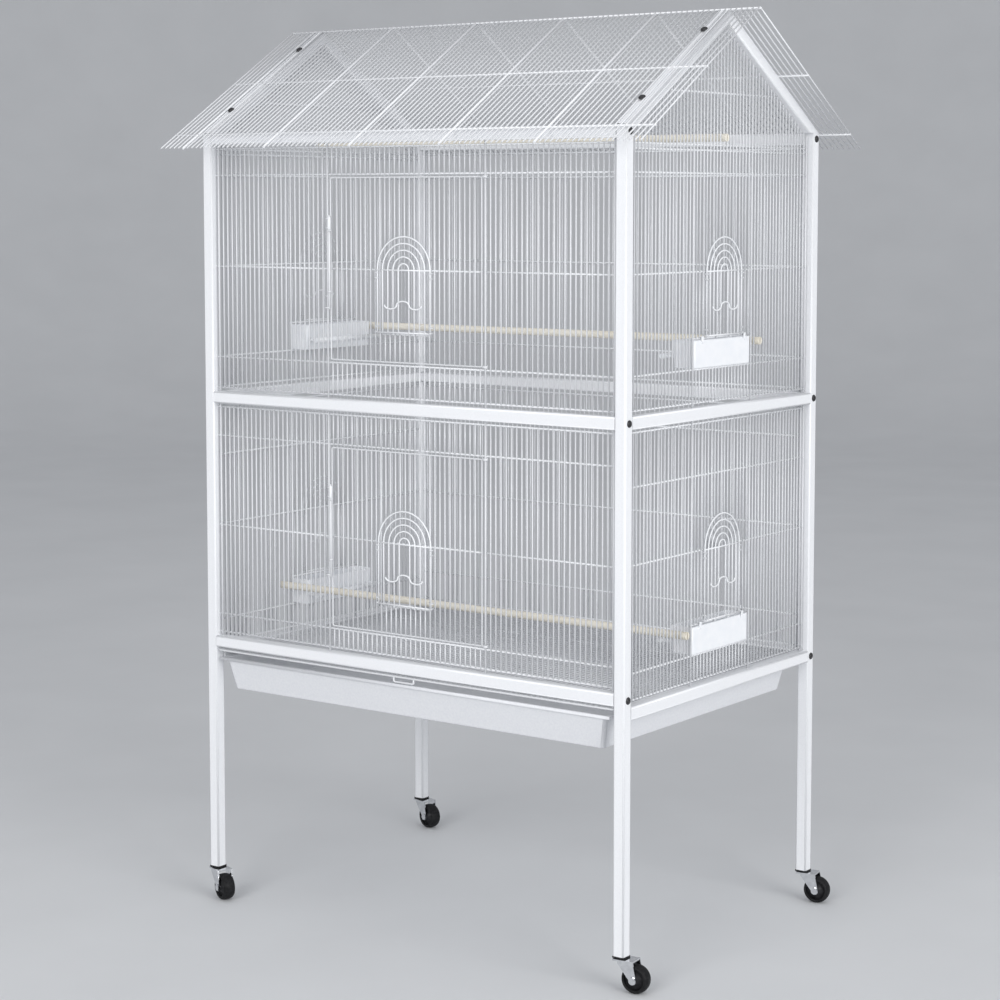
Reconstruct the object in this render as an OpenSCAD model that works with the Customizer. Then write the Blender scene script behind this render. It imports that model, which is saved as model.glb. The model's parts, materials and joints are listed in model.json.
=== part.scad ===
// Flight bird cage: a white tube frame on casters, walled with wire grilles under a pitched wire roof.
// X runs along the front, Y from front to back, Z up. The origin is on the floor, below the middle.

/* [Frame] */
// Width over the corner posts
cage_w = 813; // [760:1:900]
// Depth over the corner posts
cage_d = 565; // [500:1:620]
// Side of the square tube of posts, rails and rafters
tube = 19; // [17:0.5:22]
// Wall of the square tube
tube_wall = 1.2; // [0.8:0.1:2]
// Length of a corner post
post_h = 1201; // [1100:1:1240]
// Height of the post's top above the underside of the front bottom rail
bottom_rail_h = 834; // [811:1:856]
// Height of the post's top above the underside of the middle rails
mid_rail_h = 434; // [411:1:446]
// Drop of the side and back bottom rails below the front bottom rail
side_rail_drop = 21; // [20:0.5:26]
// Solid end of a bolted rail
rail_plug = 12; // [8:1:20]

/* [Wires] */
// Distance between neighbouring wires
pitch = 9.525; // [9.2:0.025:10]
// Diameter of a grille wire
wire_d = 2.4; // [1.8:0.1:2.8]
// Diameter of a door jamb or stiffening wire
heavy_d = 3.2; // [2.8:0.1:3.6]
// Height of a cross wire
cross_d = 3; // [2.4:0.1:3.4]
// Distance between the cross wires of a bay
row_pitch = 146; // [138:1:150]
// Height of the post's top above the middle cross wire of the upper bay
upper_row_h = 213; // [196:1:221]
// Height of the post's top above the middle cross wire of the lower bay
lower_row_h = 633; // [611:1:636]
// Upper cross wire of a lower side above its middle one
side_row_rise = 114; // [100:1:150]
// Cross wires of a gable, from the underside of the top rail
gable_rise = [-14, -6, 72];
// Gap between a grille and the tubes around it
seat_gap = 0.2; // [0.1:0.05:0.4]

/* [Roof] */
// Pitch of the roof
roof_angle = 32; // [25:0.5:38]
// Height of the roof above the post's top at its outer face
roof_heel = 4; // [4:0.5:14]
// Overhang of the roof past the sides
roof_end = 52; // [30:1:70]
// Overhang of the roof past the front and the back
roof_eave = 43; // [25:1:60]
// Distance from the ridge to the middle cross wire
roof_mid_row = 178; // [100:1:200]
// Lower cross wire of the roof outside the front and the back of the posts
eave_row = 8; // [0:1:20]
// Wires between two roof ribs
rib_step = 18; // [12:1:24]
// Wires from the middle of the roof to its last rib
rib_last = 29; // [20:1:40]

/* [Doors] */
// Wires from the middle of the front to a jamb of the large door
front_jamb = 16; // [13:1:20]
// Wires from the middle of a side to its heavy wires
side_jamb = 9; // [8:1:10]
// Wires from the middle of a small door to its edge, one for each arch
arch_n = 5; // [4:1:5]
// Distance between neighbouring arches of a small door
arch_step = 10.2; // [9.8:0.1:10.6]
// Height of a small doorway in a large door, below its arch
doorway_h = 95; // [80:1:105]
// Gap between a large door's edge wire and the jamb, from middle to middle
door_inset = 6.5; // [6:0.1:8]
// Gap between the large door and the cross wires above and below
door_gap = 2; // [1.6:0.1:3]
// Height of a hinge loop on the large door
loop_h = 4.6; // [3:0.1:5]
// Radius of a curl in a small door's handle
curl_r = 10; // [8:0.5:11]
// Running gap of a sliding door
slide_gap = 0.4; // [0.3:0.05:0.6]
// Running clearance of a pin in its loop, on the radius
pin_clear = 0.08; // [0.04:0.01:0.1]

/* [Latches] */
// Diameter of a latch rod
rod_d = 2.5; // [2:0.1:3]
// Length of a latch rod
rod_l = 146; // [120:1:160]
// Height of the thumb sleeve on a latch rod
sleeve_h = 22; // [16:1:26]
// Diameter of the thumb sleeve
sleeve_d = 4.6; // [4:0.1:6]

/* [Cups and perches] */
// Reach of a food cup into the cage
cup_w = 40; // [36:1:60]
// Height of a food cup
cup_h = 42; // [34:1:44]
// Ledge wire of a lower cup below the middle cross wire
low_cup_drop = 158; // [150:1:165]
// Wall of a food cup
cup_wall = 2; // [1.5:0.1:3]
// Draw of a cup's inner side from rim to base
cup_draw = 3; // [0:1:12]
// Diameter of the feeding bar in front of a cup
feed_d = 8; // [6:0.5:10]
// Reach of the feeding bar from the cup's inner face to its middle
feed_reach = 17; // [12:1:24]
// Width of a cup's tab
tab_w = 5; // [4:0.1:5.5]
// Diameter of a perch
perch_d = 12; // [10:0.5:14]
// Length of a perch past the middle of the side wires
perch_end = 6; // [4:0.5:8]
// Height of the lower perch above the bottom rail
low_perch_h = 59; // [50:1:80]
// Height of the upper perch above the middle rail
mid_perch_h = 91; // [70:1:110]
// Drop of the top perch below the post's top
top_perch_drop = 13; // [10:1:15]
// Wires from the middle of a side to the lower and the upper perch
perch_wires = 11; // [11:1:14]

/* [Tray and grate] */
// Depth of the tray from front to back
tray_d = 540; // [480:1:543]
// Height of the tray
tray_h = 52; // [30:1:60]
// Sheet thickness of tray and runners
sheet = 1.2; // [0.8:0.1:1.5]
// Width of the ledges that carry the tray and the grate
ledge_w = 14; // [12:0.5:18]
// Gap between the tray's flange and the runner
flange_gap = 7; // [4:0.5:9]
// Slope of the tray's sides, from rim to floor
tray_draw = 11; // [6:1:20]
// Slope of the tray's front and back, from rim to floor
front_draw = 10; // [6:1:24]
// Height of the lip along the tray's front rim
lip_h = 5; // [4:0.1:6]
// Reach of the lip in front of the tray's front wall
lip_t = 4; // [3:0.5:6]
// Grate's ledge below the underside of the bottom rail
grate_drop = 8; // [7:0.5:12]
// Tray's ledge below the grate's ledge
tray_drop = 10.6; // [10:0.1:14]
// Height of the grate's pull loop below its front wire
pull_h = 8; // [7.5:0.1:8.5]
// Width of the grate's pull loop
loop_w = 42; // [30:1:60]

/* [Casters] */
// Height of a caster from the floor to the post's foot
caster_h = 52; // [50:0.5:62]
// Diameter of a wheel
wheel_d = 43; // [38:0.5:46]
// Width of a wheel
wheel_w = 20; // [16:0.5:24]
// Trail of a wheel behind its swivel
trail = 24.5; // [18:0.5:26]
// Diameter of a caster's stem
stem_d = 8; // [7:0.5:10]
// Length of a caster's stem inside its socket
stem_l = 22; // [16:1:30]
// Diameter of a wheel's axle
axle_d = 6; // [5:0.5:8]
// Thickness of a fork's arm
arm_t = 2; // [1.5:0.1:3]
// Play between a wheel and a fork's arm
wheel_play = 1; // [0.5:0.1:1.5]

/* [Bolts] */
// Diameter of a frame bolt
bolt_d = 5; // [4:0.5:6]
// Diameter of a frame bolt's head
head_d = 11; // [9:0.5:13]
// Height of a frame bolt's head
head_h = 3; // [2:0.5:5]
// Clearance of a bolt in a tube's wall, on the radius
bolt_clear = 0.2; // [0.1:0.05:0.4]
// Depth of a rail's solid end past the tip of its bolt
bolt_spare = 1; // [0.5:0.5:3]
// Place of the two roof bolts, in parts of the rafter from the ridge
roof_bolts = [0.2, 0.8];

/* [Hidden] */
$fn = 48;
eps = 0.01;
reach = 2000;
// Length by which a cut runs past the face it opens
past = 1;
post_top = caster_h + post_h;
top_z = post_top - tube;
mid_z = post_top - mid_rail_h;
bottom_z = post_top - bottom_rail_h;
side_z = bottom_z - side_rail_drop;
inner_x = cage_w / 2 - tube;
inner_y = cage_d / 2 - tube;
wall_x = cage_w / 2 - tube / 2;
wall_y = cage_d / 2 - tube / 2;

// Wires on each side of the middle of a wall
front_n = floor((inner_x - heavy_d) / pitch);
side_n = floor((inner_y - heavy_d) / pitch);

// A bay is its lower edge, its upper edge and its middle cross wire
upper = [mid_z + tube, top_z, post_top - upper_row_h];
lower = [bottom_z + tube, mid_z, post_top - lower_row_h];
lower_flank = [side_z + tube, mid_z, lower[2]];
function middle(bay) = bay[2];
function rows(bay) = [for (k = [-1:1]) middle(bay) + k * row_pitch];

// Ledge wires under the cups, and the sill wires between a cup or a door's foot and a small doorway
upper_ledge = middle(upper) - row_pitch;
lower_ledge = middle(lower) - low_cup_drop;
function side_sill(ledge) = ledge + 1.5 * cross_d + cup_h + seat_gap;
function door_sill(bay) = middle(bay) - doorway_h - cross_d;

// Feeding bar above a cup's base, and the width of its arms
feed_h = 17;
arm_w = 4;

// Roof planes
ridge_z = post_top + roof_heel + cage_d / 2 * tan(roof_angle);
roof_l = (cage_d / 2 + roof_eave) / cos(roof_angle);
roof_x = cage_w / 2 + roof_end;
roof_n = floor((roof_x - wire_d / 2) / pitch);
ridge_trim = wire_d * tan(roof_angle) + seat_gap;
low_row = (cage_d / 2 + eave_row) / cos(roof_angle);
function rafter_under(y) =
    ridge_z - (wire_d + tube) / cos(roof_angle) - abs(y) * tan(roof_angle) - seat_gap;
upper_side_rows = concat([middle(upper) + row_pitch], [for (rise = gable_rise) top_z + rise]);
lower_side_rows = [middle(lower) + side_row_rise];

// Large door and small doors
jamb_x = front_jamb * pitch;
door_x = jamb_x - door_inset;
doorway_x = arch_n * pitch;
arch_x = arch_n * arch_step;
slide_w = wire_d / 2 + slide_gap;
lip_w = slide_w + wire_d + slide_gap;
bracket_h = 8;
bracket_t = 1.2;
stop_x = 20;
handle_drop = 53;
loop_wall = 2.1;
loop_d = heavy_d + 2 * loop_wall;

// Latch rod in front of the door's free edge
rod_w = wire_d / 2 + slide_gap + sleeve_d / 2;
rod_low = 63;
eye_h = 3;
eye_wall = 1.5;
eye_d = rod_d + 2 * eye_wall;
tongue_l = door_inset + heavy_d;
prong_l = 6;
prong_d = 0.8 * rod_d;
eye_rise = 26;

// Runner ledges, tray and grate
grate_z = bottom_z - grate_drop;
tray_z = grate_z - tray_drop;
slide_x = inner_x - sheet;
tray_x = slide_x - ledge_w - sheet;
flange_x = slide_x - flange_gap;
front_setback = 2;
front_y = -cage_d / 2 + front_setback;
back_play = 1;
grate_back = inner_y - back_play;
grate_rows = 4;

// Casters, as front left, front right, back right and back left
corners = [[-1, -1], [1, -1], [1, 1], [-1, 1]];
caster_turn = [-22, 6, 9, -15];
socket_collar = 2.5;
plate_t = 2.5;
plate_z = caster_h - socket_collar - seat_gap - plate_t;
fork_y = wheel_w / 2 + wheel_play;
wheel_r = wheel_d / 2;
axle_head = 11;
axle_head_h = 1.5;
stem_play = 1;
socket_end = 2;
tyre_t = 5;
web_recess = 3;
hub_t = 5;
tread_chamfer = [3, 4];

white = [0.93, 0.94, 0.96];
wood = [0.89, 0.78, 0.6];
black = [0.07, 0.07, 0.08];
chrome = [0.72, 0.73, 0.75];

// Square tube along Z, open at both ends
module square_tube(l) {
    difference() {
        translate([-tube / 2, -tube / 2, 0]) cube([tube, tube, l]);
        translate([-tube / 2 + tube_wall, -tube / 2 + tube_wall, -past])
            cube([tube - 2 * tube_wall, tube - 2 * tube_wall, l + 2 * past]);
    }
}

// Places a piece drawn as along the wall, up and outward on the wall that faces turn
module on_wall(turn) {
    out = turn % 180 == 0 ? wall_y : wall_x;
    rotate([0, 0, turn]) translate([0, -out, 0]) rotate([90, 0, 0]) children();
}

// Undersides of the long rails at the front or the back
function rail_heights(side) = [side < 0 ? bottom_z : side_z, mid_z, top_z];

module post(k) {
    at = [corners[k][0] * wall_x, corners[k][1] * wall_y];
    color(white) difference() {
        translate([at[0], at[1], caster_h]) square_tube(post_h);
        for (z = rail_heights(corners[k][1]))
            translate([at[0], at[1], z + tube / 2]) rotate([0, 90, 0])
                cylinder(d = bolt_d + 2 * bolt_clear, h = 2 * tube, center = true);
    }
}

// Rail along X between two posts, with solid ends that take the bolts
module long_rail(side, z) {
    bore = tube - 2 * tube_wall;
    color(white) translate([0, side * wall_y, z + tube / 2]) difference() {
        cube([2 * inner_x, tube, tube], center = true);
        cube([2 * (inner_x - rail_plug), bore, bore], center = true);
        rotate([0, 90, 0]) cylinder(d = bolt_d + 2 * pin_clear, h = reach, center = true);
    }
}

// Rail along Y between two posts
module side_rail(side, z) {
    color(white) translate([side * wall_x, inner_y, z + tube / 2]) rotate([90, 0, 0])
        square_tube(2 * inner_y);
}

// Lies in the front roof plane: X along the ridge, -Y down the slope, top at zero
module on_roof(back) {
    mirror([0, back, 0]) translate([0, 0, ridge_z]) rotate([roof_angle, 0, 0]) children();
}

function roof_bolt_x() = floor(wall_x / pitch) * pitch + pitch / 2;
function roof_bolt_v(part) = -part * cage_d / 2 / cos(roof_angle);

module rafter_pair(side) {
    color(white) for (back = [0, 1]) difference() {
        on_roof(back) difference() {
            translate([side * wall_x, eps, -wire_d - tube / 2]) rotate([90, 0, 0])
                square_tube(roof_l);
            for (part = roof_bolts)
                translate([side * roof_bolt_x(), roof_bolt_v(part), -wire_d - tube / 2])
                    cylinder(d = bolt_d + 2 * bolt_clear, h = tube);
        }
        translate([-reach, -reach, post_top - reach]) cube([2 * reach, 2 * reach, reach]);
        mirror([0, back, 0]) translate([-reach, -seat_gap / 2, 0]) cube([2 * reach, reach, reach]);
        mirror([0, back, 0]) translate([-reach, -cage_d / 2 - reach, 0]) cube([2 * reach, reach, reach]);
    }
}

// Half the width of wire i, where heavies lists the thick ones
function half_wire(i, heavies) = len(search(i, heavies)) > 0 ? heavy_d / 2 : wire_d / 2;

// Heights between lo and hi that the cross wires in cuts leave open, as pairs
function open_heights(lo, hi, cuts) =
    concat([lo], [for (r = cuts) each [r - cross_d / 2, r + cross_d / 2]], [hi]);

// One column of gaps between two upright wires
module column(left, right, lo, hi, cuts) {
    at = open_heights(lo, hi, cuts);
    for (k = [0:2:len(at) - 1])
        translate([left, at[k]]) square([right - left, at[k + 1] - at[k]]);
}

// The columns of gaps from wire first to wire last
module gaps(first, last, lo, hi, cuts, heavies = []) {
    for (i = [first:last - 1])
        column(i * pitch + half_wire(i, heavies), (i + 1) * pitch - half_wire(i + 1, heavies),
            lo, hi, cuts);
}

// The columns between the outermost wires and the edges beside them
module end_gaps(wire, edge, lo, hi, cuts) {
    from = wire * pitch + wire_d / 2;
    column(from, edge, lo, hi, cuts);
    column(-edge, -from, lo, hi, cuts);
}

module bars() {
    linear_extrude(wire_d, center = true) children();
}

// Upright wires over the whole back of a bay, on three cross wires
module back_grille(bay) {
    lo = bay[0] + seat_gap;
    hi = bay[1] - seat_gap;
    edge = inner_x - seat_gap;
    color(white) on_wall(180) bars() difference() {
        translate([-edge, lo]) square([2 * edge, hi - lo]);
        gaps(-front_n, front_n, lo - past, hi + past, rows(bay));
        end_gaps(front_n, edge + past, lo - past, hi + past, rows(bay));
    }
}

// Wires beside a large door, from its round jamb to the post
module front_wing(bay) {
    lo = bay[0] + seat_gap;
    hi = bay[1] - seat_gap;
    edge = inner_x - seat_gap;
    next = front_jamb + 1;
    bars() difference() {
        translate([jamb_x, lo]) square([edge - jamb_x, hi - lo]);
        column(jamb_x - past, next * pitch - wire_d / 2, lo - past, hi + past, rows(bay));
        gaps(next, front_n, lo - past, hi + past, rows(bay));
        column(front_n * pitch + wire_d / 2, edge + past, lo - past, hi + past, rows(bay));
    }
    translate([jamb_x, lo, 0]) rotate([-90, 0, 0]) cylinder(d = heavy_d, h = hi - lo);
}

// Short wires above or below a large door, on one cross wire
module door_strip(bay, high) {
    lo = high ? rows(bay)[2] - cross_d / 2 : bay[0] + seat_gap;
    hi = high ? bay[1] - seat_gap : rows(bay)[0] + cross_d / 2;
    edge = jamb_x - heavy_d / 2 - seat_gap;
    cut = high ? [lo + cross_d, hi + past] : [lo - past, hi - cross_d];
    bars() difference() {
        translate([-edge, lo]) square([2 * edge, hi - lo]);
        gaps(1 - front_jamb, front_jamb - 1, cut[0], cut[1], []);
        end_gaps(front_jamb - 1, edge + past, cut[0], cut[1], []);
    }
}

// The front wall of a bay around its large door: two wings and two strips
module front_grille(bay) {
    color(white) on_wall(0) {
        for (side = [0, 1]) mirror([side, 0, 0]) front_wing(bay);
        door_strip(bay, true);
        door_strip(bay, false);
    }
}

// Guides and stops that hold a small door in front of its doorway, from its sill to its arch
module slide_guides(foot, base) {
    web = arch_x + wire_d / 2 + slide_gap;
    for (side = [0, 1]) mirror([side, 0, 0]) {
        for (z = [foot + bracket_h / 2, base - 1.5 * bracket_h]) translate([0, z, 0]) {
            translate([doorway_x, 0, -wire_d / 2])
                cube([web + bracket_t - doorway_x, bracket_h, wire_d]);
            translate([web, 0, -wire_d / 2]) cube([bracket_t, bracket_h, lip_w + bracket_t + wire_d / 2]);
            translate([arch_x - wire_d / 2, 0, lip_w])
                cube([web + bracket_t - arch_x + wire_d / 2, bracket_h, bracket_t]);
        }
        translate([stop_x - bracket_t, foot - cross_d / 2, 0])
            cube([2 * bracket_t, cross_d, slide_w + wire_d]);
    }
}

// Clear opening between two cross wires, as wide as the heavy wires at half leave it
module clear(half, low, high) {
    w = half - heavy_d / 2;
    translate([-w, low + cross_d / 2]) square([2 * w, high - low - cross_d]);
}

// A side wall with the openings of its cup and its small door, up to the rafters or to the rail above
module side_grille(bay, ledge, high_rows, gable) {
    lo = bay[0] + seat_gap;
    mid = middle(bay);
    foot = side_sill(ledge);
    edge = inner_y - seat_gap;
    shoulder = gable ? rafter_under(edge) : bay[1] - seat_gap;
    peak = gable ? rafter_under(0) : shoulder;
    outside = concat([ledge, mid], high_rows);
    heavies = [-side_jamb, side_jamb];
    thick = [-side_jamb, -arch_n, arch_n, side_jamb];
    color(white) {
        bars() difference() {
            polygon([[-edge, lo], [edge, lo], [edge, shoulder], [0, peak], [-edge, shoulder]]);
            end_gaps(side_n, edge + past, lo - past, peak + past, outside);
            gaps(-side_n, -side_jamb, lo - past, peak + past, outside, heavies);
            gaps(side_jamb, side_n, lo - past, peak + past, outside, heavies);
            gaps(-side_jamb, side_jamb, lo - past, ledge - cross_d / 2, [], heavies);
            clear(side_jamb * pitch, ledge, foot);
            gaps(-side_jamb, -arch_n, foot + cross_d / 2, mid - cross_d / 2, [], thick);
            gaps(arch_n, side_jamb, foot + cross_d / 2, mid - cross_d / 2, [], thick);
            clear(doorway_x, foot, mid);
            gaps(-side_jamb, side_jamb, mid + cross_d / 2, peak + past, high_rows, heavies);
        }
        slide_guides(foot, mid);
    }
}

module upper_side() {
    side_grille(upper, upper_ledge, upper_side_rows, true);
}

module lower_side() {
    side_grille(lower_flank, lower_ledge, lower_side_rows, false);
}

// Large front door: it turns on the right jamb in two loops and carries a small door and a latch
module large_door(bay) {
    lo = rows(bay)[0] + cross_d / 2 + door_gap + heavy_d / 2;
    hi = rows(bay)[2] - cross_d / 2 - door_gap - heavy_d / 2;
    mid = middle(bay);
    foot = door_sill(bay);
    n = front_jamb - 2;
    inside = [lo + heavy_d / 2, hi - heavy_d / 2];
    thick = [-arch_n, arch_n];
    color(white) on_wall(0) difference() {
        union() {
            bars() difference() {
                translate([-door_x - heavy_d / 2, lo - heavy_d / 2])
                    square([2 * door_x + heavy_d, hi - lo + heavy_d]);
                end_gaps(n, door_x - heavy_d / 2, inside[0], inside[1], [mid]);
                gaps(-n, -arch_n, inside[0], inside[1], [mid], thick);
                gaps(arch_n, n, inside[0], inside[1], [mid], thick);
                gaps(-arch_n, arch_n, inside[0], foot - cross_d / 2, [], thick);
                clear(doorway_x, foot, mid);
                gaps(-arch_n, arch_n, mid + cross_d / 2, inside[1], [], thick);
            }
            for (z = [lo, hi]) {
                translate([door_x, z - heavy_d / 2, -wire_d / 2]) cube([door_inset, heavy_d, wire_d]);
                translate([jamb_x, z - loop_h / 2, 0]) rotate([-90, 0, 0]) cylinder(d = loop_d, h = loop_h);
            }
            slide_guides(foot, mid);
            for (z = latch_eyes(bay)) {
                translate([-door_x, z, rod_w]) rotate([-90, 0, 0]) cylinder(d = eye_d, h = eye_h);
                translate([-door_x - heavy_d / 2, z, 0]) cube([heavy_d, eye_h, rod_w]);
            }
        }
        translate([jamb_x, lo - loop_h, 0]) rotate([-90, 0, 0])
            cylinder(d = heavy_d + 2 * pin_clear, h = hi - lo + 2 * loop_h);
        translate([-door_x, lo, rod_w]) rotate([-90, 0, 0])
            cylinder(d = rod_d + 2 * pin_clear, h = hi - lo);
    }
}

// The upper eye carries the thumb sleeve, the lower one guides the rod's foot
function latch_eyes(bay) = [middle(bay) - rod_low + eye_rise, latch_seat(bay) - seat_gap - eye_h];
function latch_seat(bay) = middle(bay) - rod_low + rod_l - sleeve_h;

module latch(bay) {
    z = middle(bay) - rod_low;
    color(white) on_wall(0) translate([-door_x, z, rod_w]) {
        rotate([-90, 0, 0]) cylinder(d = rod_d, h = rod_l);
        translate([0, rod_l - sleeve_h, 0]) rotate([-90, 0, 0]) cylinder(d = sleeve_d, h = sleeve_h - rod_d);
        translate([0, rod_d, 0]) rotate([0, -90, 0]) cylinder(d = prong_d, h = tongue_l);
        for (up = [rod_l - sleeve_h + rod_d, rod_l - 2 * rod_d])
            translate([0, up, 0]) rotate([0, -90, 0]) cylinder(d = prong_d, h = prong_l);
    }
}

// Half ring with its centre at the origin
module curl(r, down) {
    mirror([0, down ? 1 : 0]) intersection() {
        difference() {
            circle(r + wire_d / 2);
            circle(r - wire_d / 2);
        }
        translate([-r - wire_d, 0]) square([2 * r + 2 * wire_d, r + wire_d]);
    }
}

// Small door of nested arches that slides up in front of its doorway
module slide_door(sill, base) {
    foot = sill + cross_d / 2 + seat_gap;
    color(white) translate([0, 0, slide_w]) linear_extrude(wire_d) {
        for (k = [1:arch_n]) {
            for (side = [-1, 1])
                translate([side * k * arch_step - wire_d / 2, foot]) square([wire_d, base - foot + eps]);
            translate([0, base]) curl(k * arch_step, false);
        }
        for (z = [foot, base - wire_d / 2])
            translate([-arch_x - wire_d / 2, z]) square([2 * arch_x + wire_d, wire_d]);
        for (k = [-1:1])
            translate([2 * curl_r * k, base - handle_drop]) curl(curl_r, k != 0);
    }
}

module front_door(bay) {
    slide_door(door_sill(bay), middle(bay));
}

module side_door(bay, ledge) {
    slide_door(side_sill(ledge), middle(bay));
}

// Trough with an upright outer face and a drawn-in inner one
module cup_block(face, low, l, w, h) {
    translate([-l / 2, 0, 0]) rotate([0, 90, 0]) linear_extrude(l)
        polygon([[-face, low], [-face, low + h], [w - face, low + h], [w - face - cup_draw, low]]);
}

// Food cup that slides in between two heavy wires on its ledge wire, with two tabs against the sill wire
// and a feeding bar on two arms along its inner side
module cup(ledge) {
    low = ledge + cross_d / 2 + seat_gap;
    top = low + cup_h;
    sill = side_sill(ledge);
    face = wire_d / 2;
    l = 2 * (side_jamb * pitch - heavy_d / 2 - slide_gap);
    tab_x = (arch_n + 1.5) * pitch;
    out = face + slide_gap;
    bar = face - cup_w - feed_reach;
    bar_y = low + feed_h;
    color(white) {
        translate([0, bar_y, bar]) rotate([0, 90, 0]) cylinder(d = feed_d, h = l, center = true);
        for (side = [-1, 1])
            translate([side * (l - arm_w) / 2 - arm_w / 2, bar_y - feed_d / 4, bar])
                cube([arm_w, feed_d / 2, feed_reach + (cup_draw + cup_wall) / 2]);
        difference() {
            cup_block(face, low, l, cup_w, cup_h);
            cup_block(face - cup_wall, low + cup_wall, l - 2 * cup_wall, cup_w - 2 * cup_wall, cup_h);
        }
        for (side = [-1, 1]) translate([side * tab_x - tab_w / 2, top - 3 * cup_wall, 0]) {
            cube([tab_w, 2 * cup_wall, out + cup_wall]);
            translate([0, 0, out]) cube([tab_w, sill + cross_d - top + 3 * cup_wall, cup_wall]);
        }
    }
}

// Round perch whose slotted ends straddle a wire of each side wall
module perch(y, z) {
    color(wood) translate([0, y, z]) difference() {
        rotate([0, 90, 0]) cylinder(d = perch_d, h = 2 * (wall_x + perch_end), center = true);
        for (side = [-1, 1])
            translate([side * (wall_x - wire_d / 2 - seat_gap + reach / 2), 0, 0])
                cube([reach, wire_d + 2 * seat_gap, 2 * perch_d], center = true);
    }
}

module roof_grille(back) {
    ribs = [for (j = [rib_last:-rib_step:-roof_n]) j];
    cuts = [-low_row, -roof_mid_row, -ridge_trim - cross_d / 2];
    color(white) on_roof(back) translate([0, 0, -wire_d]) linear_extrude(wire_d) difference() {
        translate([-roof_x, -roof_l]) square([2 * roof_x, roof_l - ridge_trim]);
        gaps(-roof_n, roof_n, -roof_l - past, past, cuts, ribs);
        end_gaps(roof_n, roof_x + past, -roof_l - past, past, cuts);
    }
}

// Wire floor on a frame of heavy wires, with a pull loop that hangs from its front edge
module floor_grate() {
    half_x = slide_x - slide_gap;
    n = floor((half_x - heavy_d) / pitch);
    step = (grate_back - front_y) / grate_rows;
    cuts = [for (k = [1:grate_rows - 1]) front_y + k * step];
    z = grate_z + sheet + seat_gap;
    color(white) {
        translate([0, 0, z]) linear_extrude(heavy_d) difference() {
            translate([-half_x, front_y]) square([2 * half_x, grate_back - front_y]);
            gaps(-n, n, front_y + heavy_d, grate_back - heavy_d, cuts);
        }
        translate([0, front_y + heavy_d, 0]) rotate([90, 0, 0]) linear_extrude(heavy_d) difference() {
            translate([-loop_w / 2, z - pull_h]) square([loop_w, pull_h + eps]);
            translate([-loop_w / 2 + heavy_d, z - pull_h + heavy_d])
                square([loop_w - 2 * heavy_d, pull_h - heavy_d]);
        }
    }
}

// Tapered block of the tray, from its rim down
module tray_block(x, front, back, h) {
    hull() {
        translate([-x, front, 0]) cube([2 * x, back - front, eps]);
        translate([-x + tray_draw, front + front_draw, -h])
            cube([2 * (x - tray_draw), back - front - 2 * front_draw, eps]);
    }
}

// Drawer tray that hangs by its flanges, with a lip along its front rim
module litter_tray() {
    rim = tray_z + 2 * sheet + seat_gap;
    back = front_y + tray_d;
    wall = front_y + lip_t;
    color(white) translate([0, 0, rim]) difference() {
        union() {
            tray_block(tray_x, wall, back, tray_h);
            translate([-flange_x, front_y, -sheet]) cube([2 * flange_x, tray_d, sheet]);
            translate([-flange_x, front_y, -lip_h]) cube([2 * flange_x, lip_t + sheet, lip_h]);
        }
        translate([0, 0, sheet]) tray_block(tray_x - sheet, wall + sheet, back - sheet, tray_h);
    }
}

// Folded strips on the inner faces of the side rails, with a ledge for the grate and one for the tray
module runners() {
    color(white) for (side = [0, 1]) mirror([side, 0, 0]) translate([0, inner_y, 0]) rotate([90, 0, 0])
        linear_extrude(2 * inner_y) {
            translate([slide_x, tray_z]) square([sheet, side_z + tube - tray_z]);
            for (z = [tray_z, grate_z])
                translate([slide_x - ledge_w, z]) square([ledge_w + eps, sheet]);
        }
}

module bolt(l) {
    translate([0, 0, -l]) cylinder(d = bolt_d, h = l + eps);
    cylinder(d = head_d, h = head_h);
}

// Bolts through the posts into the long rails, and through the roof grilles into the rafters
module frame_bolts() {
    color(black) {
        for (c = corners)
            for (z = rail_heights(c[1]))
                translate([c[0] * cage_w / 2, c[1] * wall_y, z + tube / 2]) rotate([0, c[0] * 90, 0])
                    bolt(tube + rail_plug - bolt_spare);
        for (back = [0, 1])
            on_roof(back) for (side = [-1, 1])
                for (part = roof_bolts)
                    translate([side * roof_bolt_x(), roof_bolt_v(part), 0]) bolt(wire_d + tube / 2);
    }
}

// Plastic plugs in the post's feet that hold the caster stems
module caster_sockets() {
    bore = tube - 2 * tube_wall - 2 * seat_gap;
    color(black) for (c = corners) translate([c[0] * wall_x, c[1] * wall_y, caster_h]) difference() {
        union() {
            translate([-tube / 2, -tube / 2, -socket_collar]) cube([tube, tube, socket_collar]);
            translate([-bore / 2, -bore / 2, -eps]) cube([bore, bore, stem_l + socket_end]);
        }
        translate([0, 0, -socket_collar - past])
            cylinder(d = stem_d + 2 * pin_clear, h = stem_l + socket_collar + past);
    }
}

module on_caster(k) {
    translate([corners[k][0] * wall_x, corners[k][1] * wall_y, 0]) rotate([0, 0, caster_turn[k]]) children();
}

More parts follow.
